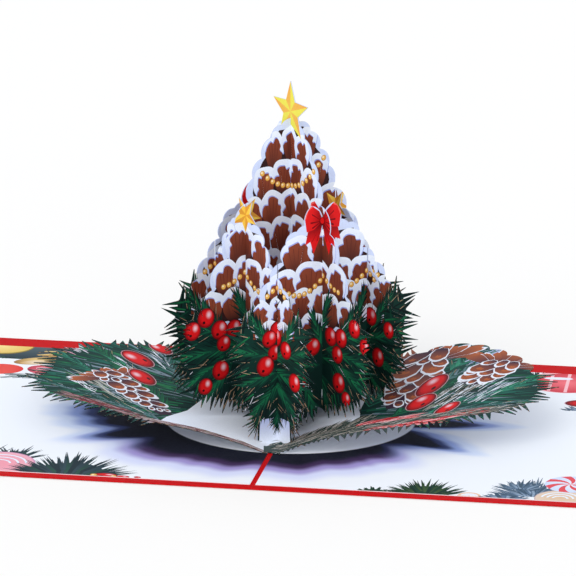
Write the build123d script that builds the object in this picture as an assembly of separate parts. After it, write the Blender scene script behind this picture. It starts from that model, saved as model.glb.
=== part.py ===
from build123d import *
import math
import os

# Pop-up card, opened flat, with a sliceform Christmas tree standing on it.
# X runs across the two leaves, Y along the spine towards the back, Z up.
# The origin is on the table, under the middle of the spine. Millimetres.

# Driving dimensions of the folded card and its liners
card_length = 183.0
leaf_width = 150.0
cover_thickness = 0.45
crease_width = 0.8
crease_depth = 0.15
liner_thickness = 0.25
liner_side_border = 6.0
liner_front_border = 4.5
liner_back_border = 12.0
spine_gap = 2.2

# Driving dimensions of the wreath, one printed sheet glued along the spine
wreath_thickness = 0.3
wreath_glue_half_width = 3.2
wreath_rise_length = 40.0
wreath_front_lift = 15.5
wreath_left_back_lift = 17.0
wreath_right_back_lift = 24.0
wreath_span_y = 66.0
wreath_needle_pitch = 3.4
wreath_needle_length = 9.0
wreath_rim_needle_length = 3.5
wreath_rim_pitch = 2.0
wreath_needle_lean = 0.3
wreath_strips = 28
wreath_strip_growth = 1.4
# How far the plain rims at the spine stand out past the slits of the glue tabs
wreath_front_margin = 10.2
wreath_back_margin = 9.2

# Driving dimensions of the tree slices
slice_thickness = 0.4
slice_spacing = 22.0
slot_clearance = 0.05
slot_end_gap = 0.1
foot_half_width = 9.5
foot_clearance = 0.3
foot_steps = 6
arch_rise = 6.0
arch_fall = 3.0
arch_steps = 9
tab_width = 5.0
tab_offset = 5.5
tab_clearance = 0.1
lobe_bulge = 0.24
needle_pitch = 2.2
needle_length = 8.5
needle_lean = 0.35
under_needle_length = 6.0
under_needle_lean = 0.1
shortest_needle = 0.5
needle_base_share = 0.75
cut_overrun = 1.0

# Driving dimensions of the ornaments cut in one with the slices; a perch is how far
# an ornament's middle stands above the highest lobe of its slice
top_star_perch = 5.0
top_star_radius = 12.4
front_star_perch = 3.5
back_star_perch = 0.5
side_star_radius = 7.7
star_waist = 0.42
bow_perch = 2.0
bow_half_width = 8.8
bow_half_height = 7.0
bow_knot_radius = 2.2
# Places on one loop of the bow, as shares of its half width and half height
bow_rise = (0.22, 0.72)
bow_peak = (0.62, 1.0)
bow_side = (1.0, 0.3)
bow_low = (0.88, -0.55)

# Half outline of a middle slice: the ends of its snow lobes, from the top down
middle_lobes = [
    (4.5, 124.0),
    (9.5, 119.5),
    (14.0, 111.5),
    (18.5, 104.0),
    (20.5, 94.5),
    (27.0, 84.0),
    (32.5, 72.5),
    (38.5, 61.0),
    (43.0, 51.0),
]
# Its pine foliage, from the last lobe round to the lower edge
middle_foliage = [
    (43.0, 51.0),
    (48.0, 50.5),
    (50.5, 40.0),
    (51.0, 29.0),
    (47.5, 20.5),
]

# Half outline of a side slice with a star, and of one with a bow
star_lobes = [
    (4.0, 86.0),
    (10.5, 84.5),
    (12.5, 79.5),
    (16.5, 73.0),
    (slice_spacing - 2.5, 68.0),
    (slice_spacing + 3.5, 64.5),
    (30.5, 58.0),
    (34.0, 52.0),
]
bow_lobes = [
    (5.0, 86.5),
    (12.5, 86.0),
    (18.0, 81.5),
    (slice_spacing - 2.5, 74.5),
    (slice_spacing + 3.5, 67.5),
    (30.5, 59.5),
    (34.0, 52.0),
]
side_foliage = [
    (34.0, 52.0),
    (39.5, 52.0),
    (41.5, 45.0),
    (40.0, 36.0),
    (39.0, 26.0),
    (34.5, 18.5),
]

# Where the wreath's plain rims cross the spine, out past the slits of the glue tabs
half_root = math.sqrt(0.5)
tab_reach = half_root * (2 * slice_spacing + tab_offset + tab_width / 2)
front_rim_y = -tab_reach - wreath_front_margin
back_rim_y = tab_reach + wreath_back_margin

# Outline of the wreath in plan, clockwise seen from above: the left wing, then the right
wreath_left_rim = [(0.0, front_rim_y), (-24.0, front_rim_y - 1.0), (-46.0, front_rim_y - 1.0)]
wreath_left_wing = [
    wreath_left_rim[-1],
    (-58.0, -44.5),
    (-70.0, -39.0),
    (-82.0, -34.0),
    (-94.0, -27.0),
    (-102.0, -14.0),
    (-99.0, 3.0),
    (-101.0, 18.0),
    (-95.0, 32.0),
    (-84.0, 41.0),
    (-66.0, 46.0),
    (-48.0, 48.0),
    (-26.0, back_rim_y - 1.0),
]
wreath_back_rim = [wreath_left_wing[-1], (0.0, back_rim_y), (26.0, back_rim_y - 1.0)]
wreath_back_spray = [wreath_back_rim[-1], (36.0, 47.5), (45.0, 48.5)]
wreath_cone_edge = [
    (49.0, 49.0),
    (57.5, 53.5),
    (67.0, 52.0),
    (75.0, 45.5),
    (83.0, 38.0),
    (90.0, 29.0),
    (95.0, 19.0),
]
wreath_right_wing = [
    (97.0, 15.0),
    (99.0, 9.0),
    (101.0, -4.0),
    (98.0, -18.0),
    (86.0, -28.0),
    (71.0, -35.5),
    (56.0, -39.5),
    (40.0, -42.0),
    (24.0, -43.5),
]
wreath_right_rim = [wreath_right_wing[-1], (12.0, front_rim_y + 2.0), wreath_left_rim[0]]
cone_bulge = 0.3

# Heights that follow from the sheets and the outlines
liner_top = cover_thickness + liner_thickness
top_star_height = middle_lobes[0][1] + top_star_perch
front_star_height = star_lobes[0][1] + front_star_perch
back_star_height = star_lobes[0][1] + back_star_perch
bow_height = bow_lobes[0][1] + bow_perch
tree_top = top_star_height + top_star_radius
wing_reach = max(abs(x) for x, y in wreath_left_wing + wreath_right_wing)
blank_reach = wing_reach + wreath_needle_length + cut_overrun


def wreath_lift(x, y):
    """How far the wreath's lower face stands above the liners at a place in plan."""
    back_lift = wreath_left_back_lift if x < 0 else wreath_right_back_lift
    share = (y + wreath_span_y) / (2 * wreath_span_y)
    lift = wreath_front_lift + (back_lift - wreath_front_lift) * share
    reach = max(0.0, abs(x) - wreath_glue_half_width)
    return lift * (1 - math.exp(-reach / wreath_rise_length))


def slice_place(family, offset, u):
    """Plan place of the point u along a slice of one of the two crossing families."""
    if family == "a":
        return half_root * (offset + u), half_root * (offset - u)
    return half_root * (u + offset), half_root * (u - offset)


def slice_floor(family, offset, u):
    """Lowest height a slice may reach at u, just clear of the wreath."""
    x, y = slice_place(family, offset, u)
    return liner_top + wreath_lift(x, y) + wreath_thickness + foot_clearance


def needle_points(path, pitch, length, lean):
    """A fringe along a path, standing out on the left of its direction. Each run of the
    path carries one tuft: slim, uneven needles that lean together towards its middle."""
    points = [path[0]]
    count = 0
    for start, end in zip(path, path[1:]):
        run = (end[0] - start[0], end[1] - start[1])
        size = math.hypot(run[0], run[1])
        along = (run[0] / size, run[1] / size)
        out = (-along[1], along[0])
        needles = max(1, round(size / pitch))
        step = size / needles
        for k in range(needles):
            count += 1
            middle = (k + 0.5) * step
            wave = (1 + math.sin(2.4 * count)) / 2
            reach = length * (shortest_needle + (1 - shortest_needle) * wave)
            tip = middle + reach * lean * (1 - 2 * middle / size)
            half = step * needle_base_share / 2
            for slide, rise in ((middle - half, 0.0), (tip, reach), (middle + half, 0.0)):
                points.append((
                    start[0] + along[0] * slide + out[0] * rise,
                    start[1] + along[1] * slide + out[1] * rise,
                ))
        points.append(end)
    return points


def lobe_edges(points, bulge):
    """Round lobes from point to point, each an arc that swells out on the left."""
    edges = []
    for start, end in zip(points, points[1:]):
        run = (end[0] - start[0], end[1] - start[1])
        middle = (
            (start[0] + end[0]) / 2 - run[1] * bulge,
            (start[1] + end[1]) / 2 + run[0] * bulge,
        )
        edges.append(ThreePointArc(start, middle, end))
    return edges


def mirrored(points):
    return [(-x, y) for x, y in reversed(points)]


def foot_edge(family, offset):
    """Lower edge of a slice's foot from right to left, with its two glue tabs."""
    spine_u = -offset

    def stretch(start, end):
        places = [start + (end - start) * k / foot_steps for k in range(foot_steps + 1)]
        return [(u, slice_floor(family, offset, u)) for u in places]

    points = []
    reached = spine_u + foot_half_width
    for tab in (tab_offset, -tab_offset):
        right = spine_u + tab + tab_width / 2
        left = right - tab_width
        points += stretch(reached, right)
        points += [(right, cover_thickness), (left, cover_thickness)]
        reached = left
    return points + stretch(reached, spine_u - foot_half_width)


def arch_fringe(family, offset, start, end):
    """Needles under the foliage, from start to end, kept clear of the wreath and the slots."""
    start_rise = start[1] - slice_floor(family, offset, start[0]) - arch_rise
    end_rise = end[1] - slice_floor(family, offset, end[0]) - arch_rise
    path = []
    for k in range(arch_steps + 1):
        share = k / arch_steps
        u = start[0] + (end[0] - start[0]) * share
        rise = arch_rise + start_rise * (1 - share) ** arch_fall + end_rise * share ** arch_fall
        path.append((u, slice_floor(family, offset, u) + rise))
    fringe = needle_points(path, needle_pitch, under_needle_length, under_needle_lean)
    clear = [(u, z) for u, z in fringe if all(abs(u - slot) > needle_pitch for slot in offsets)]
    return [(u, max(z, slice_floor(family, offset, u))) for u, z in clear]


def lower_edge(family, offset, right_end, left_end):
    """Lower edge of a slice from right to left: foliage, its foot, foliage."""
    foot = foot_edge(family, offset)
    right_foot = (foot[0][0], foot[0][1] + arch_rise)
    left_foot = (foot[-1][0], foot[-1][1] + arch_rise)
    points = []
    if right_end[0] > right_foot[0] + needle_pitch:
        points += arch_fringe(family, offset, right_end, right_foot)[1:]
    points += foot
    if left_end[0] < left_foot[0] - needle_pitch:
        points += arch_fringe(family, offset, left_foot, left_end)[:-1]
    return points


def star_points(radius, height, upward):
    """The ten corners of a five-pointed star, one point straight up or straight down."""
    first = math.pi / 2 if upward else -math.pi / 2
    corners = []
    for k in range(10):
        r = radius if k % 2 == 0 else radius * star_waist
        angle = first + k * math.pi / 5
        corners.append((r * math.cos(angle), height + r * math.sin(angle)))
    return corners


def star_face(radius, height, upward):
    return make_face(Polyline(*star_points(radius, height, upward), close=True))


def bow_loop(side):
    """One loop of the bow, from its knot out to a round end."""

    def place(share):
        return side * bow_half_width * share[0], bow_height + bow_half_height * share[1]

    knot = (0.0, bow_height)
    edges = [
        ThreePointArc(knot, place(bow_rise), place(bow_peak)),
        ThreePointArc(place(bow_peak), place(bow_side), place(bow_low)),
        Line(place(bow_low), knot),
    ]
    return make_face(edges)


def bow_face():
    knot = Pos(0, bow_height) * Circle(bow_knot_radius)
    return knot + bow_loop(1) + bow_loop(-1)


def slice_lobes(family, offset):
    """Ends of the snow lobes on the right half of a slice."""
    if offset == 0:
        return middle_lobes
    return star_lobes if family == "a" else bow_lobes


def slice_shape(family, offset):
    """The flat shape of one slice in its own plane: u along it, height up."""
    lobes = slice_lobes(family, offset)
    foliage = middle_foliage if offset == 0 else side_foliage
    right_fringe = needle_points(foliage, needle_pitch, needle_length, needle_lean)
    left_fringe = needle_points(mirrored(foliage), needle_pitch, needle_length, needle_lean)
    crown = mirrored(lobes) + lobes
    under = lower_edge(family, offset, foliage[-1], (-foliage[-1][0], foliage[-1][1]))
    edges = lobe_edges(crown, lobe_bulge)
    border = right_fringe + under + left_fringe
    edges.append(Polyline(*border))
    shape = make_face(edges)
    if family == "a" and offset == 0:
        shape += star_face(top_star_radius, top_star_height, True)
    if family == "a" and offset < 0:
        shape += star_face(side_star_radius, front_star_height, False)
    if family == "a" and offset > 0:
        shape += star_face(side_star_radius, back_star_height, False)
    if family == "b" and offset != 0:
        shape += bow_face()
    return shape


def outline_height(family, offset, u):
    """Height of the snow line of a slice at u, between the ends of its lobes."""
    lobes = slice_lobes(family, offset)
    reach = abs(u)
    if reach <= lobes[0][0]:
        return lobes[0][1]
    for low, high in zip(lobes, lobes[1:]):
        if reach <= high[0]:
            share = (reach - low[0]) / (high[0] - low[0])
            return low[1] + (high[1] - low[1]) * share
    return lobes[-1][1]


def crossing_height(offset_a, offset_b):
    """Height of the joint between two crossing slices, half way up the lower one."""
    height_a = outline_height("a", offset_a, offset_b)
    height_b = outline_height("b", offset_b, offset_a)
    return min(height_a, height_b) / 2


offsets = [-slice_spacing, 0.0, slice_spacing]


def slotted_shape(family, offset):
    """A slice with its slots: the first family from below, the second from above."""
    shape = slice_shape(family, offset)
    width = slice_thickness + 2 * slot_clearance
    for other in offsets:
        if family == "a":
            top = crossing_height(offset, other) + slot_end_gap / 2
            bottom = -cut_overrun
        else:
            top = tree_top + cut_overrun
            bottom = crossing_height(other, offset) - slot_end_gap / 2
        slot = Pos(other, (top + bottom) / 2) * Rectangle(width, top - bottom)
        shape -= slot
    return shape


def tree_slice(family, offset):
    """One slice, stood upright in its place."""
    shape = slotted_shape(family, offset)
    turn = -45 if family == "a" else 45
    side = offset if family == "a" else -offset
    plane = Plane(
        origin=(-side * math.sin(math.radians(turn)), side * math.cos(math.radians(turn)), 0),
        x_dir=(math.cos(math.radians(turn)), math.sin(math.radians(turn)), 0),
        z_dir=(math.sin(math.radians(turn)), -math.cos(math.radians(turn)), 0),
    )
    return extrude(plane * shape, amount=slice_thickness / 2, both=True)


def tab_places():
    """Plan place and turn of every glue tab."""
    places = []
    for family in ("a", "b"):
        for offset in offsets:
            for step in (-tab_offset, tab_offset):
                x, y = slice_place(family, offset, step - offset)
                places.append((x, y, -45 if family == "a" else 45))
    return places


def tab_slits(top):
    """Upright blocks that cut the slits for all glue tabs, from the table up past top."""
    length = tab_width + 2 * tab_clearance
    width = slice_thickness + 2 * tab_clearance
    height = 2 * (top + cut_overrun)
    return [
        Pos(x, y, 0) * Rot(0, 0, turn) * Box(length, width, height)
        for x, y, turn in tab_places()
    ]


def card_cover():
    """The red card, one folded sheet, with its crease pressed along the spine."""
    half = crease_width / 2
    top = cover_thickness
    profile = Polyline(
        (-leaf_width, 0),
        (leaf_width, 0),
        (leaf_width, top),
        (half, top),
        (0, top - crease_depth),
        (-half, top),
        (-leaf_width, top),
        close=True,
    )
    face = make_face(Plane.XZ * profile)
    return extrude(face, amount=card_length / 2, both=True)


def liner(side):
    """A printed liner on one leaf, short of the edges and of the spine."""
    inner = spine_gap / 2
    outer = leaf_width - liner_side_border
    front = -card_length / 2 + liner_front_border
    back = card_length / 2 - liner_back_border
    middle = (side * (inner + outer) / 2, (front + back) / 2, cover_thickness + liner_thickness / 2)
    sheet = Pos(*middle) * Box(outer - inner, back - front, liner_thickness)
    for slit in tab_slits(liner_top):
        sheet -= slit
    return sheet


def wreath_profile(y):
    """Closed section of the wreath sheet across the card, in narrow straight strips."""
    reach = blank_reach - wreath_glue_half_width
    steps = [(k / wreath_strips) ** wreath_strip_growth for k in range(wreath_strips + 1)]
    right = [wreath_glue_half_width + reach * step for step in steps]
    across = [-x for x in reversed(right)] + right
    low = [Vector(x, y, liner_top + wreath_lift(x, y)) for x in across]
    high = [point + Vector(0, 0, wreath_thickness) for point in reversed(low)]
    return Wire.make_polygon(low + high, close=True)


def wreath_outline():
    """Plan outline of the wreath: a plain rim, needles round the wings and a cone's scales."""
    pitch = wreath_needle_pitch
    length = wreath_needle_length
    lean = wreath_needle_lean
    wing_left = needle_points(wreath_left_wing, pitch, length, lean)
    spray = needle_points(wreath_back_spray, pitch, length, lean)
    wing_right = needle_points(wreath_right_wing, pitch, length, lean)
    rim = needle_points(wreath_right_rim, wreath_rim_pitch, wreath_rim_needle_length, lean)
    edges = [
        Polyline(*wreath_left_rim),
        Polyline(*wing_left),
        Polyline(*wreath_back_rim),
        Polyline(*spray),
        Line(wreath_back_spray[-1], wreath_cone_edge[0]),
        *lobe_edges(wreath_cone_edge, cone_bulge),
        Line(wreath_cone_edge[-1], wreath_right_wing[0]),
        Polyline(*wing_right),
        Polyline(*rim),
    ]
    return make_face(edges)


def wreath():
    """The curved wreath sheet, cut to its outline and slit for the glue tabs."""
    sections = [wreath_profile(-wreath_span_y), wreath_profile(wreath_span_y)]
    sheet = Solid.make_loft(sections, ruled=True)
    top = liner_top + wreath_right_back_lift + wreath_thickness
    sheet = sheet & extrude(wreath_outline(), amount=top + cut_overrun)
    for slit in tab_slits(top):
        sheet -= slit
    return sheet


slice_names = {-slice_spacing: "front", 0.0: "middle", slice_spacing: "back"}
side_names = {-slice_spacing: "left", 0.0: "centre", slice_spacing: "right"}


def main():
    os.makedirs("parts", exist_ok=True)
    export_step(card_cover(), "parts/card_cover.step")
    export_step(liner(-1), "parts/left_liner.step")
    export_step(liner(1), "parts/right_liner.step")
    export_step(wreath(), "parts/wreath_sheet.step")
    for offset in offsets:
        star_slice = tree_slice("a", offset)
        export_step(star_slice, f"parts/star_slice_{slice_names[offset]}.step")
        bow_slice = tree_slice("b", offset)
        export_step(bow_slice, f"parts/bow_slice_{side_names[offset]}.step")


main()
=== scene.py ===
import math
import random

import bpy
from mathutils import Euler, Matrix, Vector
from mathutils.bvhtree import BVHTree
from mathutils.geometry import delaunay_2d_cdt


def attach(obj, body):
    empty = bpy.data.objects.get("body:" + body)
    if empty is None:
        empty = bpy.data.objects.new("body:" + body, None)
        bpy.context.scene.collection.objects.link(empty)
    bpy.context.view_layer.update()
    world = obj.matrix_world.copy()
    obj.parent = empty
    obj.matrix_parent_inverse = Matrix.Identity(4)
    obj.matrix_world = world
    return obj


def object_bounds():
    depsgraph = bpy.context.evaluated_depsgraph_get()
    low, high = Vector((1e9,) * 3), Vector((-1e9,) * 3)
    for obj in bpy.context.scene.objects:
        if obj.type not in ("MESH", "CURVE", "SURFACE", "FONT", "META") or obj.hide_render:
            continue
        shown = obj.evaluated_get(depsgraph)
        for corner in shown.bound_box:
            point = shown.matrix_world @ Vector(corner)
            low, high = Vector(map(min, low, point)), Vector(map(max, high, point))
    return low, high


# Pop-up greeting card, opened flat: a red folded card with printed liners, a printed
# wreath sheet that arches off them, and a Christmas tree of six slotted slices.
# The frame holds the card itself. This script prints it: each sheet gets a skin of ink,
# one flat mesh cut to the sheet's own outline, and every surface gets its paper finish.

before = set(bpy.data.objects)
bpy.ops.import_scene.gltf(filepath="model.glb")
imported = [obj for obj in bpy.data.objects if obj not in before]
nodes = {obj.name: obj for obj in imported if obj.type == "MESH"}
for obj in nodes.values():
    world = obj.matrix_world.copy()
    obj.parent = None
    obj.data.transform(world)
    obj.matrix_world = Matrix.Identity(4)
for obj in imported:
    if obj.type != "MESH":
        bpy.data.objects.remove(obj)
cad_low, cad_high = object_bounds()
mm = 0.001

# How far a skin of ink stands off its paper, and how near two of its points are one point
ink_lift = 0.012
join_distance = 1e-4
slice_half_thickness = 0.2
slice_spacing = 22.0
half_root = math.sqrt(0.5)

# The wreath sheet's rise, as on the card itself, in millimetres
liner_top = 0.7
wreath_thickness = 0.3
wreath_glue_half_width = 3.2
wreath_rise_length = 40.0
wreath_front_lift = 15.5
wreath_left_back_lift = 17.0
wreath_right_back_lift = 24.0
wreath_span_y = 66.0

# The printed disc on the liners, and the dark ring round it, both wider than deep
disc_half_width = 51.5
disc_half_depth = 47.5
ring_middle_x = -6.0
ring_half_width = 74.0
ring_half_depth = 61.5

# Heights on the tree, in millimetres
foliage_top = 50.0
foot_height = 11.0
foot_half_width = 9.5
foot_slivers = 150
top_star_height = 129.0
front_star_height = 89.5
back_star_height = 86.5
bow_height = 88.5

# Ornaments and shingles
top_star_radius = 12.4
side_star_radius = 7.7
star_waist = 0.42
bow_half_width = 8.8
bow_half_height = 7.0
bead_spacing = 2.6
shingle_width = 12
wing_needles = 520

# The rows of shingles on a slice, from the top down: their tops and their heights
middle_rows = ((122, 15.5), (109, 14), (97.5, 14), (86.5, 17), (72.5, 15), (60.5, 14))
side_rows = ((83.5, 14.5), (72.5, 14), (61.5, 13.5), (51.5, 12))

# How much light the print and the red card throw back, and the size of paper's fibres
print_gloss = 0.12
card_gloss = 0.06
fibre_scale = 900


def ink(red, green, blue):
    """A printed colour, given as it looks, turned to the linear values that Blender mixes."""
    linear = []
    for value in (red, green, blue):
        share = value / 255
        linear.append(share / 12.92 if share <= 0.04045 else ((share + 0.055) / 1.055) ** 2.4)
    return (*linear, 1.0)


snow_white = ink(236, 243, 253)
snow_pale = ink(210, 222, 250)
snow_shade = ink(156, 168, 228)
shingle_light = ink(142, 68, 44)
shingle_mid = ink(118, 54, 38)
shingle_dark = ink(50, 26, 26)
bead_gold = ink(236, 184, 88)
bead_rim = ink(176, 108, 40)
bead_gleam = ink(255, 238, 196)
pine_black = ink(8, 26, 26)
pine_deep = ink(14, 52, 44)
pine_mid = ink(18, 82, 60)
pine_bright = ink(30, 128, 76)
sliver_tan = ink(196, 160, 128)
sliver_white = ink(236, 240, 248)
berry_red = ink(222, 22, 26)
berry_deep = ink(138, 6, 16)
berry_edge = ink(84, 6, 18)
berry_dot = ink(52, 4, 12)
berry_gleam = ink(248, 206, 214)
star_yellow = ink(232, 222, 84)
star_amber = ink(236, 166, 78)
star_gold = ink(246, 208, 84)
star_bronze = ink(214, 142, 52)
ribbon_red = ink(222, 26, 28)
ribbon_fold = ink(112, 6, 16)
ribbon_rim = ink(244, 96, 88)
teal_deep = ink(12, 54, 48)
teal_mid = ink(28, 104, 88)
teal_bright = ink(66, 160, 122)
teal_grey = ink(132, 150, 164)
tan_grey = ink(156, 148, 136)
cone_light = ink(184, 98, 52)
cone_mid = ink(124, 62, 44)
cone_gap = ink(60, 40, 58)
rosy_brown = ink(134, 84, 84)
wine_brown = ink(92, 44, 52)
biscuit_pink = ink(244, 150, 164)
biscuit_tan = ink(226, 190, 150)

# Inks of a clump of needles or a wing: deep, middle and bright
dark_pines = (pine_black, pine_deep, pine_mid)
pines = (pine_deep, pine_mid, pine_bright)
leafy = (teal_deep, pine_mid, pine_bright)
teals = (teal_deep, teal_mid, teal_bright)
frosty = (teal_deep, teal_mid, teal_grey)


def mix(first, second, share):
    share = min(1.0, max(0.0, share))
    return tuple(a + (b - a) * share for a, b in zip(first, second))


def around(ring):
    """Each point or number of a ring with the one after it."""
    return zip(ring, ring[1:] + ring[:1])


def turning(points):
    """Twice the area inside a ring of points, positive where it runs anticlockwise."""
    return sum(a[0] * b[1] - b[0] * a[1] for a, b in around(points))


def fade(first, second, start, end):
    """Ink that changes along a line from start to end."""
    run = (end[0] - start[0], end[1] - start[1])
    size = run[0] ** 2 + run[1] ** 2

    def paint(x, y):
        share = ((x - start[0]) * run[0] + (y - start[1]) * run[1]) / size
        return mix(first, second, share)

    return paint


def glow(inner, outer, centre, radius):
    """Ink that changes with the distance from a centre."""

    def paint(x, y):
        return mix(inner, outer, math.hypot(x - centre[0], y - centre[1]) / radius)

    return paint


def placed(points, x, y, turn, size=1.0):
    """Points turned by an angle in radians, scaled and moved."""
    c = math.cos(turn) * size
    s = math.sin(turn) * size
    return [(x + px * c - py * s, y + px * s + py * c) for px, py in points]


def moved(px, py, x, y, turn, size=1.0):
    """One point turned, scaled and moved."""
    return placed([(px, py)], x, y, turn, size)[0]


def arc(x, y, reach, angles):
    return [(x + reach * math.cos(a), y + reach * math.sin(a)) for a in angles]


def run_and_turn(start, end):
    """The way from start to end, and its angle."""
    run = (end[0] - start[0], end[1] - start[1])
    return run, math.atan2(run[1], run[0])


def box(half, low, high):
    """A rectangle of this half width between two heights."""
    return [(-half, low), (half, low), (half, high), (-half, high)]


def renumbered(groups):
    """The numbers that the groups use, in order, and the groups by place in that order."""
    used = sorted({k for group in groups for k in group})
    index = {k: n for n, k in enumerate(used)}
    return used, [tuple(index[k] for k in group) for group in groups]


class Artwork:
    """Shapes of ink in painter's order, in millimetres on the flat sheet."""

    def __init__(self, outline, seed):
        self.outline = outline
        self.shapes = []
        self.guides = []
        self.chance = random.Random(seed)

    def shape(self, points, paint):
        """Adds a shape. Its paint is one colour, or a function from a place to a colour."""
        if turning(points) < 0:
            points = points[::-1]
        self.shapes.append((points, paint if callable(paint) else lambda x, y: paint))

    def oval(self, x, y, wide, high, turn, corners, paint):
        steps = [2 * math.pi * k / corners for k in range(corners)]
        ring = [(wide * math.cos(a), high * math.sin(a)) for a in steps]
        self.shape(placed(ring, x, y, turn), paint)

    def between(self, low, high):
        return self.chance.uniform(low, high)

    def half_width(self, height, side):
        """Distance from the middle to the outline on one side, at a height."""
        reach = 0.0
        for (x0, y0), (x1, y1) in around(self.outline):
            if (y0 - height) * (y1 - height) <= 0 and y0 != y1:
                x = x0 + (x1 - x0) * (height - y0) / (y1 - y0)
                reach = max(reach, x * side)
        return reach

    def cut(self):
        """Cuts the shapes against each other and the outline, and keeps what shows:
        flat points, triangles, and the paint on each triangle."""
        points = [Vector(p) for p in self.outline]
        faces = [list(range(len(points)))]
        paints = [None]
        for shape, paint in self.shapes:
            first = len(points)
            points += [Vector(p) for p in shape]
            faces.append(list(range(first, len(points))))
            paints.append(paint)
        result = delaunay_2d_cdt(points, [], faces, 1, join_distance, True)
        points, _, triangles, _, _, owners = result
        tops = [max(owner) if 0 in owner else 0 for owner in owners]
        sides = {}
        for triangle, top in zip(triangles, tops):
            for side in around(triangle):
                sides[side] = top
        used, lines = renumbered([
            (start, end) for (start, end), top in sides.items()
            if (end, start) not in sides or (sides[end, start] != top and start < end)
        ])
        borders = [points[k] for k in used]
        for start, end in self.guides:
            lines.append((len(borders), len(borders) + 1))
            borders += [Vector(start), Vector(end)]
        finder = BVHTree.FromPolygons([(*p, 0) for p in points], triangles)
        result = delaunay_2d_cdt(borders, lines, [], 0, join_distance, False)
        kept = []
        paint_of = []
        for triangle in result[2]:
            middle = sum((result[0][k] for k in triangle), Vector((0, 0))) / 3
            _, _, below, gap = finder.find_nearest((*middle, 0))
            if gap < 10 * join_distance and tops[below] > 0:
                kept.append(triangle)
                paint_of.append(paints[tops[below]])
        used, kept = renumbered(kept)
        return [result[0][k] for k in used], kept, paint_of


def sheet_outline(node, facing, flatten):
    """Outer border of a node's faces that face one way, as flat points in order."""
    mesh = nodes[node].data
    edges = set()
    for face in mesh.polygons:
        if face.normal.dot(facing) < 0.7:
            continue
        corners = []
        for index in face.vertices:
            x, y = flatten(mesh.vertices[index].co / mm)
            corners.append((round(x, 3), round(y, 3)))
        edges |= {(start, end) for start, end in around(corners) if start != end}
    follow = {}
    for start, end in sorted(edges):
        if (end, start) not in edges:
            follow.setdefault(start, []).append(end)
    rings = []
    while follow:
        ring = [next(iter(follow))]
        while ring[-1] in follow:
            here = ring[-1]
            after = follow[here].pop()
            if not follow[here]:
                del follow[here]
            if after == ring[0]:
                break
            ring.append(after)
        rings.append(ring)
    ring = max(rings, key=lambda ring: abs(turning(ring)))
    return ring if turning(ring) > 0 else ring[::-1]


def plan_outline(node):
    """The border of a lying sheet, seen from above."""
    return sheet_outline(node, Vector((0, 0, 1)), lambda co: (co.x, co.y))


def skin(name, artwork, places, material):
    """Makes the printed skin of a sheet. Each place is a function from flat to solid
    millimetres with +1 where the skin faces along the flat normal, -1 for the far side."""
    flat_points, triangles, paints = artwork.cut()
    low = [min(values) for values in zip(*flat_points)]
    wide, high = [max(values) - least for values, least in zip(zip(*flat_points), low)]
    share = 0.98 / max(wide * len(places) * 1.02, high)
    points = []
    faces = []
    colours = []
    spots = []
    for index, (place, side) in enumerate(places):
        first = len(points)
        points += [Vector(place(*p)) * mm for p in flat_points]
        for triangle, paint in zip(triangles, paints):
            ring = triangle[::side]
            faces.append([first + k for k in ring])
            for k in ring:
                x, y = flat_points[k]
                colours += paint(x, y)
                spots.append(0.01 + (x - low[0] + index * wide * 1.02) * share)
                spots.append(0.01 + (y - low[1]) * share)
    mesh = bpy.data.meshes.new(name)
    mesh.from_pydata(points, [], faces)
    mesh.color_attributes.new("ink", "FLOAT_COLOR", "CORNER").data.foreach_set("color", colours)
    mesh.uv_layers.new(name="OFBake").data.foreach_set("uv", spots)
    mesh.validate()
    piece = bpy.data.objects.new(name, mesh)
    bpy.context.scene.collection.objects.link(piece)
    mesh.materials.append(material)
    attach(piece, "root")


# Motifs of the print


def needle(art, x, y, turn, length, width, root, tip=None):
    """A pine needle: a slim blade from its root to a fine point."""
    half = width * 0.5
    blade = [
        (0, -width * 0.35), (length * 0.45, -half), (length, 0), (length * 0.45, half),
        (0, width * 0.35),
    ]
    end = moved(length, 0, x, y, turn)
    art.shape(placed(blade, x, y, turn), fade(root, tip or root, (x, y), end))


def sprig(art, start, end, length, count, greens, slivers, lean, width=0.55):
    """A pine twig with needles on both sides that lean towards its end."""
    run, heading = run_and_turn(start, end)
    deep, middle, bright = greens
    for k in range(count):
        along = (k + art.between(0, 0.8)) / count
        side = 1 if k % 2 else -1
        x = start[0] + run[0] * along
        y = start[1] + run[1] * along
        turn = heading + side * (lean * (1.15 - 0.75 * along) + art.between(-0.12, 0.12))
        reach = length * art.between(0.75, 1.1) * (1.0 - 0.25 * along)
        tone = art.between(0, 1)
        root = mix(middle, bright, art.between(0, 1)) if tone > 0.45 else mix(deep, middle, tone)
        tip = deep if tone < 0.75 else middle
        needle(art, x, y, turn, reach, width * art.between(0.8, 1.2), root, tip)
        if art.between(0, 1) < slivers:
            pale = sliver_tan if art.between(0, 1) < 0.7 else sliver_white
            foot = moved(art.between(0.45, 0.65) * reach, -0.5, x, y, turn)
            aim = turn + art.between(-0.05, 0.05)
            needle(art, *foot, aim, reach * art.between(0.4, 0.65), 0.2, pale)


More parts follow.
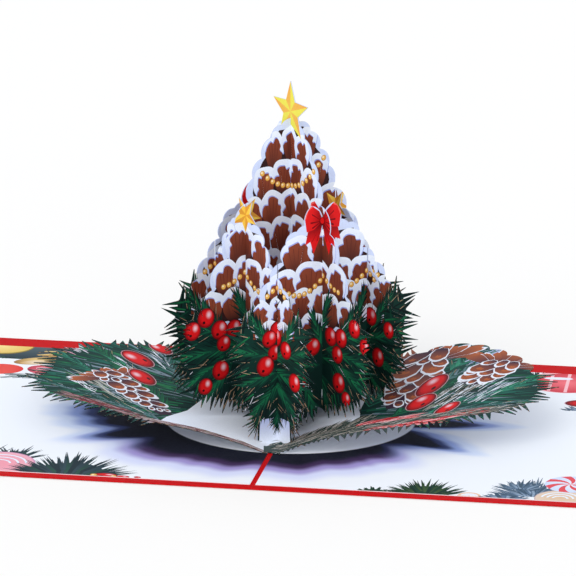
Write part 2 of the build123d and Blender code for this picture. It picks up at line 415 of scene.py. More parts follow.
def berry(art, x, y, radius, stretch=1.0, turn=0.0):
    """A holly berry with a soft gleam on one side and its dark blossom end."""
    wide = radius * stretch
    art.oval(x, y, wide * 1.03, radius * 1.03, turn, 22, berry_edge)
    art.oval(x, y, wide, radius, turn, 22, berry_deep)
    for share, tone in ((0.9, 0.45), (0.78, 0.85), (0.66, 1.0)):
        shift = moved(wide * (1 - share) * 0.4, radius * (1 - share) * 0.3, x, y, turn)
        art.oval(*shift, wide * share, radius * share, turn, 20, mix(berry_deep, berry_red, tone))
    gleam = moved(wide * 0.34, radius * 0.3, x, y, turn)
    steps = 6
    for k in range(steps):
        share = 0.44 - 0.36 * k / steps
        tone = mix(berry_red, berry_gleam, ((k + 0.5) / steps) ** 1.4)
        art.oval(*gleam, wide * share, radius * share * 1.2, turn, 14, tone)
    dot = moved(-wide * 0.25, -radius * 0.45, x, y, turn)
    art.oval(*dot, wide * 0.17, radius * 0.15, turn, 10, berry_dot)


def bead(art, x, y, radius=1.22):
    art.oval(x, y, radius, radius, 0, 12, bead_rim)
    art.oval(x, y + radius * 0.05, radius * 0.84, radius * 0.84, 0, 12, bead_gold)
    art.oval(x - radius * 0.2, y + radius * 0.25, radius * 0.4, radius * 0.36, 0, 8, bead_gleam)


def garland(art, left, right, height_at):
    """Beads strung from left to right along a curve."""
    count = max(1, round((right - left) / bead_spacing))
    for k in range(count + 1):
        x = left + (right - left) * k / count
        bead(art, x, height_at(x))


def star(art, x, y, radius, first, light, dark):
    """A faceted five-pointed star: each ray is split into a light and a dark half. First is
    the angle of the first ray."""
    corners = []
    for k in range(10):
        reach = radius * star_waist if k % 2 else radius
        corners += arc(x, y, reach, [first + k * math.pi / 5])
    for k in range(10):
        tone = light if k % 2 else dark
        facet = [(x, y), corners[k], corners[(k + 1) % 10]]
        art.shape(facet, glow(mix(tone, light, 0.35), tone, (x, y), radius))


def side_star(art, x, side):
    """A small star hung upside down. Side is -1 before the tree's middle and 1 behind it."""
    height = front_star_height if side < 0 else back_star_height
    star(art, x, height, side_star_radius, -math.pi / 2, star_gold, star_bronze)


def bow(art, x):
    """A ribbon bow: two tails, two folded loops and a knot."""
    y = bow_height
    wide = bow_half_width
    high = bow_half_height
    for side in (-1, 1):

        def at(points, side=side):
            return [(x + px * side * wide, y + py * high) for px, py in points]

        tail = [(0.02, -0.1), (0.8, -0.3), (0.98, -1.25), (0.7, -1.1), (0.52, -1.85), (0.2, -1.0)]
        shade = fade(ribbon_red, ribbon_fold, (x, y - high * 1.1), (x, y - high * 0.2))
        art.shape(at(tail), shade)
        for lean in (0.32, 0.6):
            pleat = [(0.08, -0.15), (lean + 0.05, -1.15), (lean - 0.03, -1.1)]
            art.shape(at(pleat), mix(ribbon_fold, ribbon_red, 0.4))
        loop = [
            (0, 0), (0.2, 0.62), (0.6, 1.0), (0.86, 0.85), (1.0, 0.3), (0.9, -0.5), (0.5, -0.42),
        ]
        art.shape(at(loop), fade(ribbon_red, ribbon_fold, (x + side * wide * 0.5, y), (x, y)))
        for px, py in ((0.62, 0.5), (0.7, 0.0), (0.6, -0.32)):
            art.shape(at([(0.06, 0.02), (px, py + 0.05), (px - 0.02, py - 0.05)]), ribbon_fold)
        rim = [(0.6, 1.0), (0.86, 0.85), (1.0, 0.3), (0.94, 0.28), (0.8, 0.76), (0.58, 0.9)]
        art.shape(at(rim), ribbon_rim)
    art.oval(x, y, wide * 0.2, high * 0.26, 0, 10, ribbon_fold)
    art.oval(x, y + high * 0.04, wide * 0.15, high * 0.2, 0, 10, ribbon_red)


def shingle(art, x, top, wide, tall):
    """A brown shingle, its veins, and the snow that hangs over its upper rim."""
    middle = top - tall / 2

    def egg(angle, grow=0.0):
        reach = (wide / 2 + grow) * (1 + 0.16 * math.sin(angle))
        return x + reach * math.cos(angle), middle + (tall / 2 + grow) * math.sin(angle)

    corners = 22
    ring = [2 * math.pi * k / corners for k in range(corners)]
    art.shape([egg(a) for a in ring], shingle_dark)
    body = mix(shingle_light, shingle_mid, art.between(0, 1))
    low = middle - tall * 0.45
    shade = fade(body, shingle_dark, (x, middle - tall * 0.05), (x, low))
    art.shape([egg(a, -0.3) for a in ring], shade)
    for lean in (-0.3, -0.12, 0.06, 0.24):
        foot = (x + lean * wide * 0.35, low + tall * 0.1)
        head = (x + lean * wide * 1.05, top - art.between(2.5, 5))
        vein = [foot, (head[0] - 0.14, head[1]), (head[0] + 0.14, head[1])]
        art.shape(vein, mix(shingle_dark, body, 0.35))
    left_end = math.pi + art.between(-0.2, 0.7)
    right_end = -art.between(-0.2, 0.7)
    waves = art.between(1.6, 2.8)
    phase = art.between(0, 6.28)
    steps = 30
    outer = []
    inner = []
    for k in range(steps + 1):
        share = k / steps
        angle = right_end + (left_end - right_end) * share
        taper = min(1.0, 6.0 * min(share, 1 - share) + 0.15)
        lump = 0.3 * math.sin(angle * 5 + phase)
        rim = egg(angle, (0.9 + lump) * taper)
        hang = (1.0 + 0.5 * max(0.0, math.sin(angle))) * taper
        hang += 1.7 * taper * max(0.0, math.sin(angle * waves * 2 + phase)) ** 3
        size = math.hypot(rim[0] - x, rim[1] - middle)
        keep = 1 - (hang + 0.9 * taper) / size
        outer.append(rim)
        inner.append((x + (rim[0] - x) * keep, middle + (rim[1] - middle) * keep))
    drape = outer + inner[::-1]
    art.shape([(px + 0.2, py - 0.5) for px, py in drape], snow_shade)
    art.shape(drape, fade(snow_white, snow_pale, (x, top), (x, middle - tall * 0.3)))


def crown(art, rows, margin):
    """The snowy shingles of a slice, row by row from the top down. Each row has its top
    and the height of its shingles, and stands half a shingle off the row above."""
    highest = rows[0][0]
    levels = [highest - k * 3 for k in range(int((highest - foliage_top + 8) / 3))]
    right = [(max(0.8, art.half_width(z, 1) - margin), z) for z in levels]
    left = [(-max(0.8, art.half_width(z, -1) - margin), z) for z in levels]
    art.shape(right + left[::-1], shingle_dark)
    for row, (top, tall) in enumerate(rows):
        room = art.half_width(top - tall * 0.4, 1) - margin * 0.6
        count = max(1, round(2 * room / shingle_width))
        if count % 2 == row % 2:
            count += 1
        pitch = 2 * room / count
        for k in range(count):
            x = -room + pitch * (k + 0.5) + art.between(-0.6, 0.6)
            size = art.between(0.95, 1.1)
            drop = 1.5 * abs(2 * (k + 0.5) / count - 1)
            shingle(art, x, top - drop + art.between(-1.0, 1.0), pitch * 1.04 * size, tall * size)


def cut_needles(art, highest, tones, slivers):
    """Ink on the cut fringe: a needle down each tip, and here and there a pale sliver."""
    ring = art.outline
    count = len(ring)
    dark, middle, bright = tones
    for k in range(count):
        before, tip, after = map(Vector, (ring[k - 1], ring[k], ring[(k + 1) % count]))
        if tip.y > highest:
            continue
        to_before = before - tip
        to_after = after - tip
        if min(to_before.length, to_after.length) < 2 or to_before.angle(to_after) > 0.6:
            continue
        root = (before + after) / 2
        run = tip - root
        start = root - run * art.between(0.5, 1.1)
        turn = math.atan2(run.y, run.x)
        length = (tip - start).length
        tone = art.between(0, 1)
        colour = bright if tone > 0.8 else middle if tone > 0.5 else dark
        needle(art, start.x, start.y, turn, length, 0.75, colour, dark)
        if art.between(0, 1) < slivers:
            pale = sliver_tan if art.between(0, 1) < 0.6 else sliver_white
            reach = art.between(2.0, 5.0)
            foot = after - run.normalized() * reach
            needle(art, foot.x, foot.y, turn + art.between(-0.1, 0.1), reach, 0.26, pale)


def strewn(art, start, end, spread, length, count, colours, lean, width):
    """Loose needles strewn along a line, all pointing roughly its way."""
    run, heading = run_and_turn(start, end)
    for k in range(count):
        along = (k + art.between(0, 1)) / count
        off = art.between(-spread, spread)
        x = start[0] + run[0] * along - math.sin(heading) * off
        y = start[1] + run[1] * along + math.cos(heading) * off
        colour = colours[k % len(colours)]
        turn = heading + lean + art.between(-0.15, 0.15)
        needle(art, x, y, turn, length * art.between(0.6, 1.2), width, colour)


def scale(art, x, y, turn, size, long):
    """One scale of a cone: white rim on its round end, brown inside, dark at its root.
    Long is how much longer than wide it is drawn, since a wing is seen from low down."""
    round_end = [
        (-0.9, 0.0), (-0.75, 0.5), (-0.1, 0.72), (0.6, 0.66), (1.0, 0.3),
        (1.08, 0.0), (1.0, -0.3), (0.6, -0.66), (-0.1, -0.72), (-0.75, -0.5),
    ]
    outside = [(px * long, py) for px, py in round_end]
    inner = 1 - 0.75 / size
    inside = [((px - 0.12) * long * inner, py * inner) for px, py in round_end]
    art.shape(placed(outside, x, y, turn, size), sliver_white)
    tip = moved(0.9 * long, 0, x, y, turn, size)
    root = moved(-0.7 * long, 0, x, y, turn, size)
    body = mix(cone_light, cone_mid, art.between(0, 1))
    art.shape(placed(inside, x, y, turn, size), fade(body, cone_gap, tip, root))
    edge = [(0.1, -0.1), (0.5, -0.3), (0.62, 0.0), (0.5, 0.32), (0.2, 0.22), (0.35, 0.0)]
    edge = [(px * long, py) for px, py in edge]
    art.shape(placed(edge, x, y, turn, size * 0.8), mix(body, cone_light, 0.8))


def cone(art, start, end, wide, rows, long):
    """A snowy pine cone: rows of rimmed scales, and open pointed ones at its far end."""
    run, turn = run_and_turn(start, end)
    length = math.hypot(*run)

    def at(along, across):
        return moved(along * length, across, *start, turn)

    def girth(along):
        return math.sin(math.pi * (0.1 + 0.78 * along)) ** 0.8

    steps = [k / 8 for k in range(8)]
    body = [at(a, wide * 0.4 * girth(a)) for a in steps]
    body += [at(a, -wide * 0.4 * girth(a)) for a in reversed(steps)]
    art.shape(body, cone_gap)
    petals = 13
    blade = [
        (0, -0.08), (0.55, -0.17), (0.88, -0.1), (1, 0), (0.88, 0.1), (0.55, 0.17), (0, 0.08),
    ]
    for k in range(petals):
        lean = 1.25 * (2 * k / (petals - 1) - 1)
        x, y = at(0.7, wide * 0.3 * math.sin(lean))
        reach = wide * art.between(0.6, 0.9)
        aim = turn + lean + art.between(-0.12, 0.12)
        if k % 2:
            art.shape(placed(blade, x, y, aim, reach * 1.1), sliver_white)
        tip = arc(x, y, reach, [aim])[0]
        art.shape(placed(blade, x, y, aim, reach), fade(cone_gap, cone_light, (x, y), tip))
    for row in range(rows):
        along = 0.04 + 0.78 * (row + 0.5) / rows
        broad = wide * 0.5 * girth(along)
        count = 2 + (row + 1) % 2
        for k in range(count):
            across = (k + 0.5) / count * 2 - 1
            x, y = at(along + art.between(-0.03, 0.03), across * broad * 0.85)
            size = 1.15 * broad / count * art.between(0.9, 1.15)
            aim = turn + math.pi - across * 0.5 + art.between(-0.25, 0.25)
            scale(art, x, y, aim, size, long * art.between(0.85, 1.15))


def long_berry(art, start, end, radius):
    """A berry drawn long from start to end, with a brown line and a pale one round it."""
    middle = ((start[0] + end[0]) / 2, (start[1] + end[1]) / 2)
    run, turn = run_and_turn(start, end)
    stretch = math.hypot(*run) / 2 / radius
    for grow_x, grow_y, paint in ((0.9, 0.7, ink(214, 160, 168)), (0.5, 0.4, wine_brown)):
        art.oval(*middle, radius * stretch + grow_x, radius + grow_y, turn, 22, paint)
    berry(art, *middle, radius, stretch, turn)


def tuft(art, x, y, wide, high, tones):
    """A clump of pine that fans up from the edge of the print."""
    turns = [0.1 * k for k in range(32)]
    dome = [(x + wide * 0.42 * math.cos(a), y + high * 0.62 * math.sin(a)) for a in turns]
    art.shape(dome, fade(tones[1], tones[0], (x, y + high * 0.6), (x, y)))
    count = int(wide * 3.5)
    for k in range(count):
        share = (k * 7 % count) / (count - 1) * 2 - 1
        turn = math.pi / 2 - share * 1.2 + art.between(-0.15, 0.15)
        foot = (x + share * wide * 0.33, y + art.between(0, 0.35) * high * (1 - abs(share)))
        reach = high * (1.15 - 0.35 * abs(share)) * art.between(0.7, 1.1)
        needle(art, *foot, turn, reach * 0.8, 1.2, tones[k % len(tones)], tones[0])


def biscuit(art, x, y, radius, colour):
    """An iced biscuit with arcs piped on it."""
    icing = glow(colour, mix(colour, snow_white, 0.25), (x, y), radius)
    art.oval(x, y, radius, radius, 0, 40, mix(colour, snow_shade, 0.3))
    art.oval(x, y, radius * 0.95, radius * 0.95, 0, 40, icing)
    turns = [math.pi * (0.05 + 0.9 * k / 16) for k in range(17)]
    for share in (0.78, 0.56, 0.34):
        reach = radius * share
        piped = arc(x, y, reach, turns) + arc(x, y, reach - 0.9, turns[::-1])
        art.shape(piped, snow_white)


def swirl(art, x, y, radius):
    """A round peppermint with curved red stripes."""
    art.oval(x, y, radius, radius, 0, 36, glow(snow_white, snow_pale, (x, y), radius))
    stripes = 7
    outward = range(7)
    for k in range(stripes):
        first = 2 * math.pi * k / stripes
        ring = []
        for step in outward:
            ring += arc(x, y, radius * step / 6, [first + step * 0.13])
        for step in outward[:0:-1]:
            ring += arc(x, y, radius * step / 6, [first + 0.42 + step * 0.13])
        art.shape(ring, mix(berry_red, biscuit_pink, 0.25))


def boiled_sweet(art, x, y, wide, high, turn):
    """A glossy pink sweet with pale bands across it."""
    art.oval(x, y, wide, high, turn, 30, glow(ink(246, 120, 128), ink(206, 50, 66), (x, y), wide))
    for share in (-0.45, 0.0, 0.45):
        tall = high * math.sqrt(1 - share * share) * 0.94
        left = share * wide
        band = [(left - 0.7, -tall), (left + 0.7, -tall), (left + 1.1, tall), (left - 0.3, tall)]
        art.shape(placed(band, x, y, turn), ink(252, 196, 200))
    gleam = moved(-wide * 0.25, high * 0.45, x, y, turn)
    art.oval(*gleam, wide * 0.4, high * 0.13, turn, 12, snow_white)


def foliage(art, berries, twigs, shoulder, foot_middle):
    """Pine and holly round the lower part of a slice, with its white foot."""
    wide = 75
    floor = -5
    top = foliage_top - 5
    field = [
        (-wide, floor), (wide, floor), (wide, wide), (shoulder, wide),
        (shoulder, top), (-shoulder, top), (-shoulder, wide), (-wide, wide),
    ]
    art.shape(field, fade(pine_deep, pine_black, (0, top), (0, 0)))
    foot = [
        (foot_middle + foot_half_width * share, height)
        for share, height in ((-1, floor), (1, floor), (0.9, foot_height), (-0.9, foot_height))
    ]
    art.shape(foot, fade(ink(240, 245, 255), ink(186, 196, 234), (0, 2), (0, foot_height)))
    cut_needles(art, 64, (pine_black, pine_mid, pine_bright), 0.5)
    for k in range(foot_slivers):
        x = art.between(-46, 46)
        height = art.between(8, 22)
        pale = (sliver_white, sliver_tan, pine_black)[k % 3]
        if abs(x - foot_middle) > foot_half_width:
            turn = -math.pi / 2 + x * 0.012 + art.between(-0.15, 0.15)
            needle(art, x, height, turn, art.between(4, 7), 0.3, pale)
    hanging = 12
    for k in range(hanging):
        x = foot_middle + foot_half_width * (2 * (k + 0.5) / hanging - 1)
        turn = -math.pi / 2 + art.between(-0.35, 0.35)
        colour = pine_black if k % 3 else pine_deep
        needle(art, x, foot_height + 4, turn, art.between(5, 9), 0.8, colour)
    upper = (foot_middle, foot_height + 3)
    lower = (foot_middle, foot_height - 4)
    sprig(art, upper, lower, 6, 26, dark_pines, 0.2, 0.8)
    for start, end, length, count in twigs:
        sprig(art, start, end, length * 1.1, count, dark_pines, 0.2, 0.55, 0.75)
        sprig(art, start, end, length * 0.9, count, pines, 0.0, 0.36, 0.65)
    for spot in berries:
        berry(art, *spot)


def mirrored(twigs):
    both = []
    for start, end, length, count in twigs:
        both.append((start, end, length, count))
        both.append(((-start[0], start[1]), (-end[0], end[1]), length, count))
    return both


# Twigs and berries of the slices: start, end, needle length and needle count
middle_twigs = mirrored([
    ((12, 24), (9, 12), 9.0, 26),
    ((20, 26), (26, 12), 10.0, 32),
    ((28, 30), (44, 14), 10.5, 36),
    ((26, 34), (50, 24), 11.0, 40),
    ((20, 42), (26, 56), 9.0, 28),
    ((34, 40), (43, 56), 9.0, 28),
    ((30, 42), (51, 47), 9.5, 34),
    ((24, 36), (52, 35), 11.0, 42),
    ((4, 32), (24, 32), 10.0, 34),
    ((2, 38), (11, 51), 9.0, 26),
])
side_twigs = mirrored([
    ((9, 22), (5, 11), 9.0, 26),
    ((15, 24), (22, 11), 9.0, 30),
    ((19, 27), (34, 14), 10.0, 34),
    ((15, 40), (20, 55), 8.5, 26),
    ((25, 40), (36, 56), 9.0, 28),
    ((18, 35), (40, 41), 10.5, 38),
    ((18, 30), (39, 27), 10.5, 38),
    ((1, 29), (17, 31), 10.0, 32),
    ((0, 36), (5, 50), 8.0, 24),
])
# Berries of the slices by family and step: places along and up, and radii
slice_berries = {
    ("a", -1): [
        (21, 44, 3.9), (28, 40, 3.6), (34, 28, 3.8), (-18, 43, 3.8), (-25, 38, 3.5), (-33, 26, 3.9),
    ],
    ("a", 0): [
        (28, 42, 3.9), (35, 43, 3.9), (32.5, 35.5, 3.6), (33.5, 24, 4.1), (38.5, 18.5, 3.0),
        (44, 49, 3.8), (51, 43, 3.4), (-30, 42, 3.9), (-37, 38, 3.7), (-46, 27, 3.8),
        (-26, 20, 3.8),
    ],
    ("a", 1): [
        (25, 46, 3.8), (37, 43, 3.4), (30, 30, 3.9), (-20, 44, 3.8), (-30, 36, 3.8), (-34, 24, 3.5),
    ],
    ("b", -1): [
        (-26, 44, 3.9), (-34, 38, 3.7), (-28, 24, 3.8), (20, 42, 3.8), (30, 34, 3.7), (34, 22, 3.6),
    ],
    ("b", 0): [
        (-41.5, 50, 4.0), (-48, 45.5, 3.8), (-35, 44, 3.9), (-28, 43.5, 3.6), (-33, 38, 3.3),
        (-34.5, 27, 4.0), (-42, 21.5, 3.4), (36, 45, 3.9), (44, 40, 3.8), (32, 28, 3.9),
        (42, 21.5, 3.4),
    ],
    ("b", 1): [
        (-22, 47, 3.8), (-26, 44, 3.5), (-23.5, 38, 3.2), (-28, 33, 4.1), (-18, 31, 3.8),
        (-5, 37, 3.7), (-12, 23, 3.7), (14, 42, 3.8), (24, 34, 3.8), (30, 22, 3.6),
    ],
}


def tree_art(family, step):
    """The print of one slice. Step is -1, 0 or 1, from the front or left to the back or right."""
    along, normal, origin = slice_axes(family, step)
    outline = sheet_outline(slice_node(family, step), normal, lambda co: (co.dot(along), co.z))
    art = Artwork(outline, seed=11 + step + (5 if family == "b" else 0))
    art.shape(box(70, -5, max(y for x, y in outline) + 1), snow_pale)
    berries = slice_berries[family, step]
    if step == 0:
        crown(art, middle_rows, 3.0)
        garland(art, -14, 16, lambda x: 98.5 + 0.035 * x * x)
        garland(art, -33, 33, lambda x: 66 - 4.5 * abs(math.sin(x * 0.14)))
        foliage(art, berries, middle_twigs, 42.8, 0)
        for side in (-1, 1):
            if family == "a":
                bow(art, side * slice_spacing)
            else:
                side_star(art, side * slice_spacing, side)
        if family == "a":
            star(art, 0, top_star_height, top_star_radius, math.pi / 2, star_yellow, star_amber)
    else:
        crown(art, side_rows, 2.6)
        garland(art, -27, 27, lambda x: 65 - 5.5 * abs(math.sin(x * 0.14)))
        foliage(art, berries, side_twigs, 33.8, -step * slice_spacing)
        if family == "a":
            side_star(art, 0, step)
        else:
            bow(art, 0)
    return art, along, normal, origin


def slice_node(family, step):
    if family == "a":
        return "star_slice_" + ("front", "middle", "back")[step + 1]
    return "bow_slice_" + ("left", "centre", "right")[step + 1]


def slice_axes(family, step):
    """Direction along a slice, its normal towards the front, and its middle, in millimetres."""
    sign = -1 if family == "a" else 1
    along = Vector((half_root, half_root * sign, 0))
    normal = Vector((half_root * sign, -half_root, 0))
    return along, normal, normal * (sign * step * slice_spacing)


def print_tree(material):
    for family in ("a", "b"):
        for step in (-1, 0, 1):
            art, along, normal, origin = tree_art(family, step)
            places = []
            for side in (1, -1):

                def place(u, z, stand=normal * side * (slice_half_thickness + ink_lift)):
                    return origin + along * u + stand + Vector((0, 0, z))

                places.append((place, side))
            skin(slice_node(family, step) + "_print", art, places, material)


def wreath_height(x, y):
    """Height of the wreath's upper face above the table."""
    back_lift = wreath_left_back_lift if x < 0 else wreath_right_back_lift
    share = (y + wreath_span_y) / (2 * wreath_span_y)
    lift = wreath_front_lift + (back_lift - wreath_front_lift) * share
    reach = max(0.0, abs(x) - wreath_glue_half_width)
    return liner_top + wreath_thickness + lift * (1 - math.exp(-reach / wreath_rise_length))


def fan(art, side):
    """Broad needles all over a wing, pointing away from the tree."""
    tones = (teal_deep, teal_mid, pine_mid, pine_black, teal_mid, pine_bright, teal_grey)
    for k in range(wing_needles):
        x = side * art.between(30, 98)
        y = art.between(-44, 46)
        turn = math.atan2(y * 0.75 + 12, x * 0.8) + art.between(-0.2, 0.2)
        colour = tones[(k * 5) % len(tones)]
        length = art.between(9, 17)
        width = art.between(0.7, 1.5)
        needle(art, x, y, turn, length, width, colour, mix(colour, teal_deep, 0.5))


def left_wing(art):
    fan(art, -1)
    sprig(art, (-10, 10), (-26, 46), 13, 60, leafy, 0.1, 0.5, 0.8)
    sprig(art, (-24, 8), (-46, 46), 14, 70, teals, 0.15, 0.45, 0.8)
    sprig(art, (-38, -10), (-64, 44), 14, 90, frosty, 0.2, 0.4, 0.8)
    sprig(art, (-46, -44), (-103, -12), 13, 100, frosty, 0.15, 0.25, 0.8)
    sprig(art, (-44, -30), (-92, 42), 15, 120, leafy, 0.1, 0.4, 0.9)
    sprig(art, (-46, -36), (-99, 22), 15, 120, teals, 0.1, 0.35, 0.9)
    strewn(art, (-75, -22), (-86, -11), 1.6, 11, 20, (sliver_white, pine_black), 0.0, 0.6)
    tans = (tan_grey, ink(206, 204, 190), teal_grey)
    strewn(art, (-50, -38), (-84, -4), 3.2, 13, 60, tans, 0.0, 0.5)
    strewn(art, (-60, 0), (-76, 22), 2.5, 10, 26, (sliver_white, teal_bright, teal_grey), 0.1, 0.4)
    strewn(art, (-54, 18), (-62, 38), 2.5, 10, 26, (sliver_white, pine_black, teal_grey), 0.2, 0.4)
    strewn(art, (-92, 24), (-97, 32), 4, 9, 14, (ink(212, 160, 176), sliver_white), 0.3, 0.5)
    cone(art, (-44, -37), (-86, 14), 16, 8, 1.15)
    long_berry(art, (-62, 18), (-75.5, 34.5), 4.4)
    long_berry(art, (-57, -4), (-67.5, 12), 3.9)
    long_berry(art, (-58, 38), (-67, 49), 3.2)
    browns = (rosy_brown, wine_brown, ink(176, 140, 142))
    strewn(art, (-50, -45.5), (-86, -29), 2.2, 9, 90, browns, 0.0, 0.6)
    strewn(art, (-60, -41), (-80, -33), 1.2, 5, 20, (ink(150, 40, 50), wine_brown), 0.0, 0.8)


def right_wing(art):
    fan(art, 1)
    sprig(art, (10, 10), (26, 46), 13, 60, leafy, 0.1, 0.5, 0.8)
    sprig(art, (34, -14), (44, 48), 14, 80, teals, 0.15, 0.5, 0.8)
    sprig(art, (50, -10), (80, 44), 14, 90, frosty, 0.15, 0.4, 0.8)
    sprig(art, (44, -34), (102, -14), 12, 100, frosty, 0.3, 0.3, 0.8)
    sprig(art, (46, -28), (72, 20), 13, 80, leafy, 0.1, 0.4, 0.9)
    sprig(art, (60, -28), (102, 12), 15, 120, teals, 0.1, 0.35, 0.9)
    pales = (ink(160, 168, 200), ink(196, 200, 220))
    strewn(art, (72, 36), (82, 46), 3, 10, 20, pales, 0.0, 0.7)
    strewn(art, (58, -26), (72, 4), 5.5, 13, 70, (sliver_white, tan_grey, pine_black), 0.0, 0.5)
    strewn(art, (74, -18), (84, 4), 5.0, 11, 40, (sliver_white, teal_grey), -0.1, 0.4)
    sprig(art, (62, 22), (75, 54), 11, 60, teals, 0.1, 0.45, 1.0)
    blues = (ink(150, 160, 206), ink(190, 196, 226), teal_mid)
    strewn(art, (68, 30), (80, 44), 3, 12, 30, blues, 0.0, 0.9)
    cone(art, (72, 5), (86, 36), 22, 5, 1.2)
    cone(art, (46, -19), (51, 64), 26, 8, 1.4)
    long_berry(art, (54, -7), (60, 18), 4.4)
    long_berry(art, (52.5, -23), (58.5, -5), 4.2)
    long_berry(art, (64, -30), (70.5, -16), 2.6)
    long_berry(art, (71, -30.5), (86, -25), 2.9)


def front_rims(art):
    """The bands along the wreath's front: a slim brown one, and a broad one of pine."""
    rim = [(0, -50), (0, -44.6), (-24, -45.2), (-46, -44.6), (-50, -45), (-50, -50)]
    art.shape(rim, ink(176, 160, 164))
    browns = (rosy_brown, wine_brown, tan_grey, ink(196, 178, 182))
    strewn(art, (-2, -46.5), (-50, -46.5), 1.6, 8, 120, browns, 0.0, 0.6)
    band = [(-2, -52), (-4, -40), (2, -35), (8, -34), (20, -32.5), (34, -29), (44, -28), (60, -52)]
    art.shape(band, ink(70, 84, 80))
    tans = (
        tan_grey, ink(104, 106, 104), ink(190, 184, 176),
        ink(56, 72, 66), ink(40, 66, 58), ink(30, 52, 46),
    )
    reds = (ink(206, 44, 52), ink(232, 112, 116), ink(150, 24, 36), ink(248, 196, 198))
    for band in (
        ((-2, -40), (36, -30.5), 3.4, 7, 260, tans, 0.75, 0.9),
        ((0, -43.5), (50, -37), 4.0, 10, 240, tans, 0.15, 0.8),
        ((44, -37), (94, -25), 3.0, 8, 200, tans, 0.25, 0.6),
        ((36, -42), (60, -40), 1.2, 9, 30, reds, 0.05, 0.8),
        ((32, -35), (52, -31), 1.8, 9, 50, reds, 0.1, 0.9),
        ((48, -41), (68, -35), 1.2, 8, 40, reds, 0.1, 0.9),
    ):
        strewn(art, *band)


def print_wreath(material):
    """The wreath: pine sprays, cones and berries round a white middle."""
    art = Artwork(plan_outline("wreath_sheet"), 31)
    art.shape(box(125, -60, 60), teal_deep)
    cut_needles(art, 60, (teal_deep, teal_mid, teal_grey), 0.5)
    left_wing(art)
    right_wing(art)
    bare = [
        (-46.5, -52), (-43.5, -39), (-37.5, -27), (-35, -12), (-33, 4), (-28, 18), (-18, 28),
        (0, 33), (18, 28), (28, 16), (31, 0), (31, -16), (33, -29), (39, -36), (30, -38),
        (12, -36), (1.5, -38), (0, -52),
    ]
    # The white middle turns faintly blue away from a point in front of the tree: painted shade
    # under the tree.
    art.shape(bare, glow(ink(250, 252, 255), ink(236, 243, 255), (-8, -18), 48))
    front_rims(art)
    sheet = nodes["wreath_sheet"].data
    spots = [vertex.co / mm for vertex in sheet.vertices]
    upper = [list(face.vertices) for face in sheet.polygons if face.normal.z > 0.7]
    surface = BVHTree.FromPolygons(spots, upper)
    for face in upper:
        for start, end in around(face):
            if start < end:
                art.guides.append((spots[start].xy, spots[end].xy))

    def place(x, y):
        spot = surface.ray_cast(Vector((x, y, 100)), Vector((0, 0, -1)))[0]
        if spot is None:
            spot = surface.find_nearest(Vector((x, y, wreath_height(x, y))))[0]
        return x, y, spot.z + ink_lift

    skin("wreath_print", art, [(place, 1)], material)


def left_corners(art):
    """Sweets and pine in the corners of the left liner."""
    tones = (ink(30, 48, 54), ink(52, 74, 82), ink(44, 84, 70))
    golds = (ink(206, 158, 84), ink(240, 206, 132), ink(150, 104, 60))
    tuft(art, -112, -84, 26, 26, tones)
    tuft(art, -99, -72, 14, 16, tones)
    biscuit(art, -103.5, -78, 14.5, biscuit_pink)
    swirl(art, -130, -74, 9)
    tuft(art, -73.5, -88, 36, 25, tones)
    berry(art, -59, -85.5, 2.2, 2.2)
    berry(art, -52, -86.5, 1.6, 1.8)
    berry(art, -46, -86, 1.0, 1.4)
    bead(art, -63.5, -86, 1.5)
    bead(art, -55.5, -86.5, 1.3)
    tuft(art, -140, -50, 22, 16, tones)
    berry(art, -138, -62, 4)
    for k in range(7):
        tuft(art, -130 + 8 * k, 61 + 2 * (k % 3), 20, 22, tones)
    slate = [(-146, 82), (-146, 66), (-120, 62), (-90, 66), (-70, 74), (-64, 82)]
    art.shape(slate, fade(ink(84, 100, 104), ink(40, 58, 66), (0, 80), (0, 62)))
    art.oval(-138, 79, 13.5, 12, 0, 36, ink(150, 130, 60))
    art.oval(-138, 80, 13, 11.5, 0, 36, glow(ink(252, 226, 150), ink(226, 190, 92), (-138, 80), 14))
    strewn(art, (-122, 70), (-96, 76), 5, 9, 40, (*golds, tones[0]), 0.1, 1.2)
    boiled_sweet(art, -88, 73, 8, 5, 0.1)
    art.oval(-118, 60, 11, 5, 0.35, 26, glow(golds[1], golds[2], (-119, 61), 11))
    art.oval(-119, 58, 7, 2.6, 0.35, 20, glow(ink(252, 240, 214), golds[0], (-119, 58), 7))
    art.oval(-110, 47, 11, 7, -0.3, 30, glow(ink(238, 130, 142), ink(196, 60, 80), (-110, 47), 11))
    art.oval(-112, 48.5, 5.5, 2.2, -0.3, 16, ink(246, 176, 186))
    art.oval(-132, 46, 10, 7.2, 0.1, 30, glow(ink(255, 134, 110), ink(224, 40, 46), (-131, 46), 10))
    strewn(art, (-130, 37), (-106, 38), 3, 7, 40, tones, 0.3, 0.9)


def right_corners(art):
    """Sweets and pine in the corners of the right liner."""
    tones = (ink(14, 46, 34), ink(30, 70, 48), ink(66, 92, 48))
    blues = (ink(62, 84, 102), ink(98, 122, 148), ink(150, 170, 192))
    tuft(art, 68, -88, 22, 17, tones)
    tuft(art, 48, -89, 14, 7, tones)
    biscuit(art, 85, -87, 4.6, ink(244, 182, 116))
    tuft(art, 99, -88, 18, 8, blues)
    tuft(art, 110, -84, 22, 20, blues)
    tuft(art, 104, -76, 14, 12, blues)
    biscuit(art, 120, -84, 10, biscuit_tan)
    swirl(art, 122, -66, 10)
    berry(art, 126, -53, 3)
    for k in range(6):
        tuft(art, 92 + 9 * k, 66 - k % 2, 18, 16, tones)
    art.oval(104, 67, 17, 14.5, 0, 36, ink(250, 190, 196))
    boiled_sweet(art, 105, 66.5, 15.5, 13.5, 0.05)
    biscuit(art, 134, 72, 11, biscuit_pink)
    swirl(art, 80, 76, 5)
    tuft(art, 116, 29, 16, 8, blues)
    long_berry(art, (108, 39), (124, 40), 4.6)
    tuft(art, 140, 8, 16, 10, tones)
    berry(art, 136, 4, 3.4)


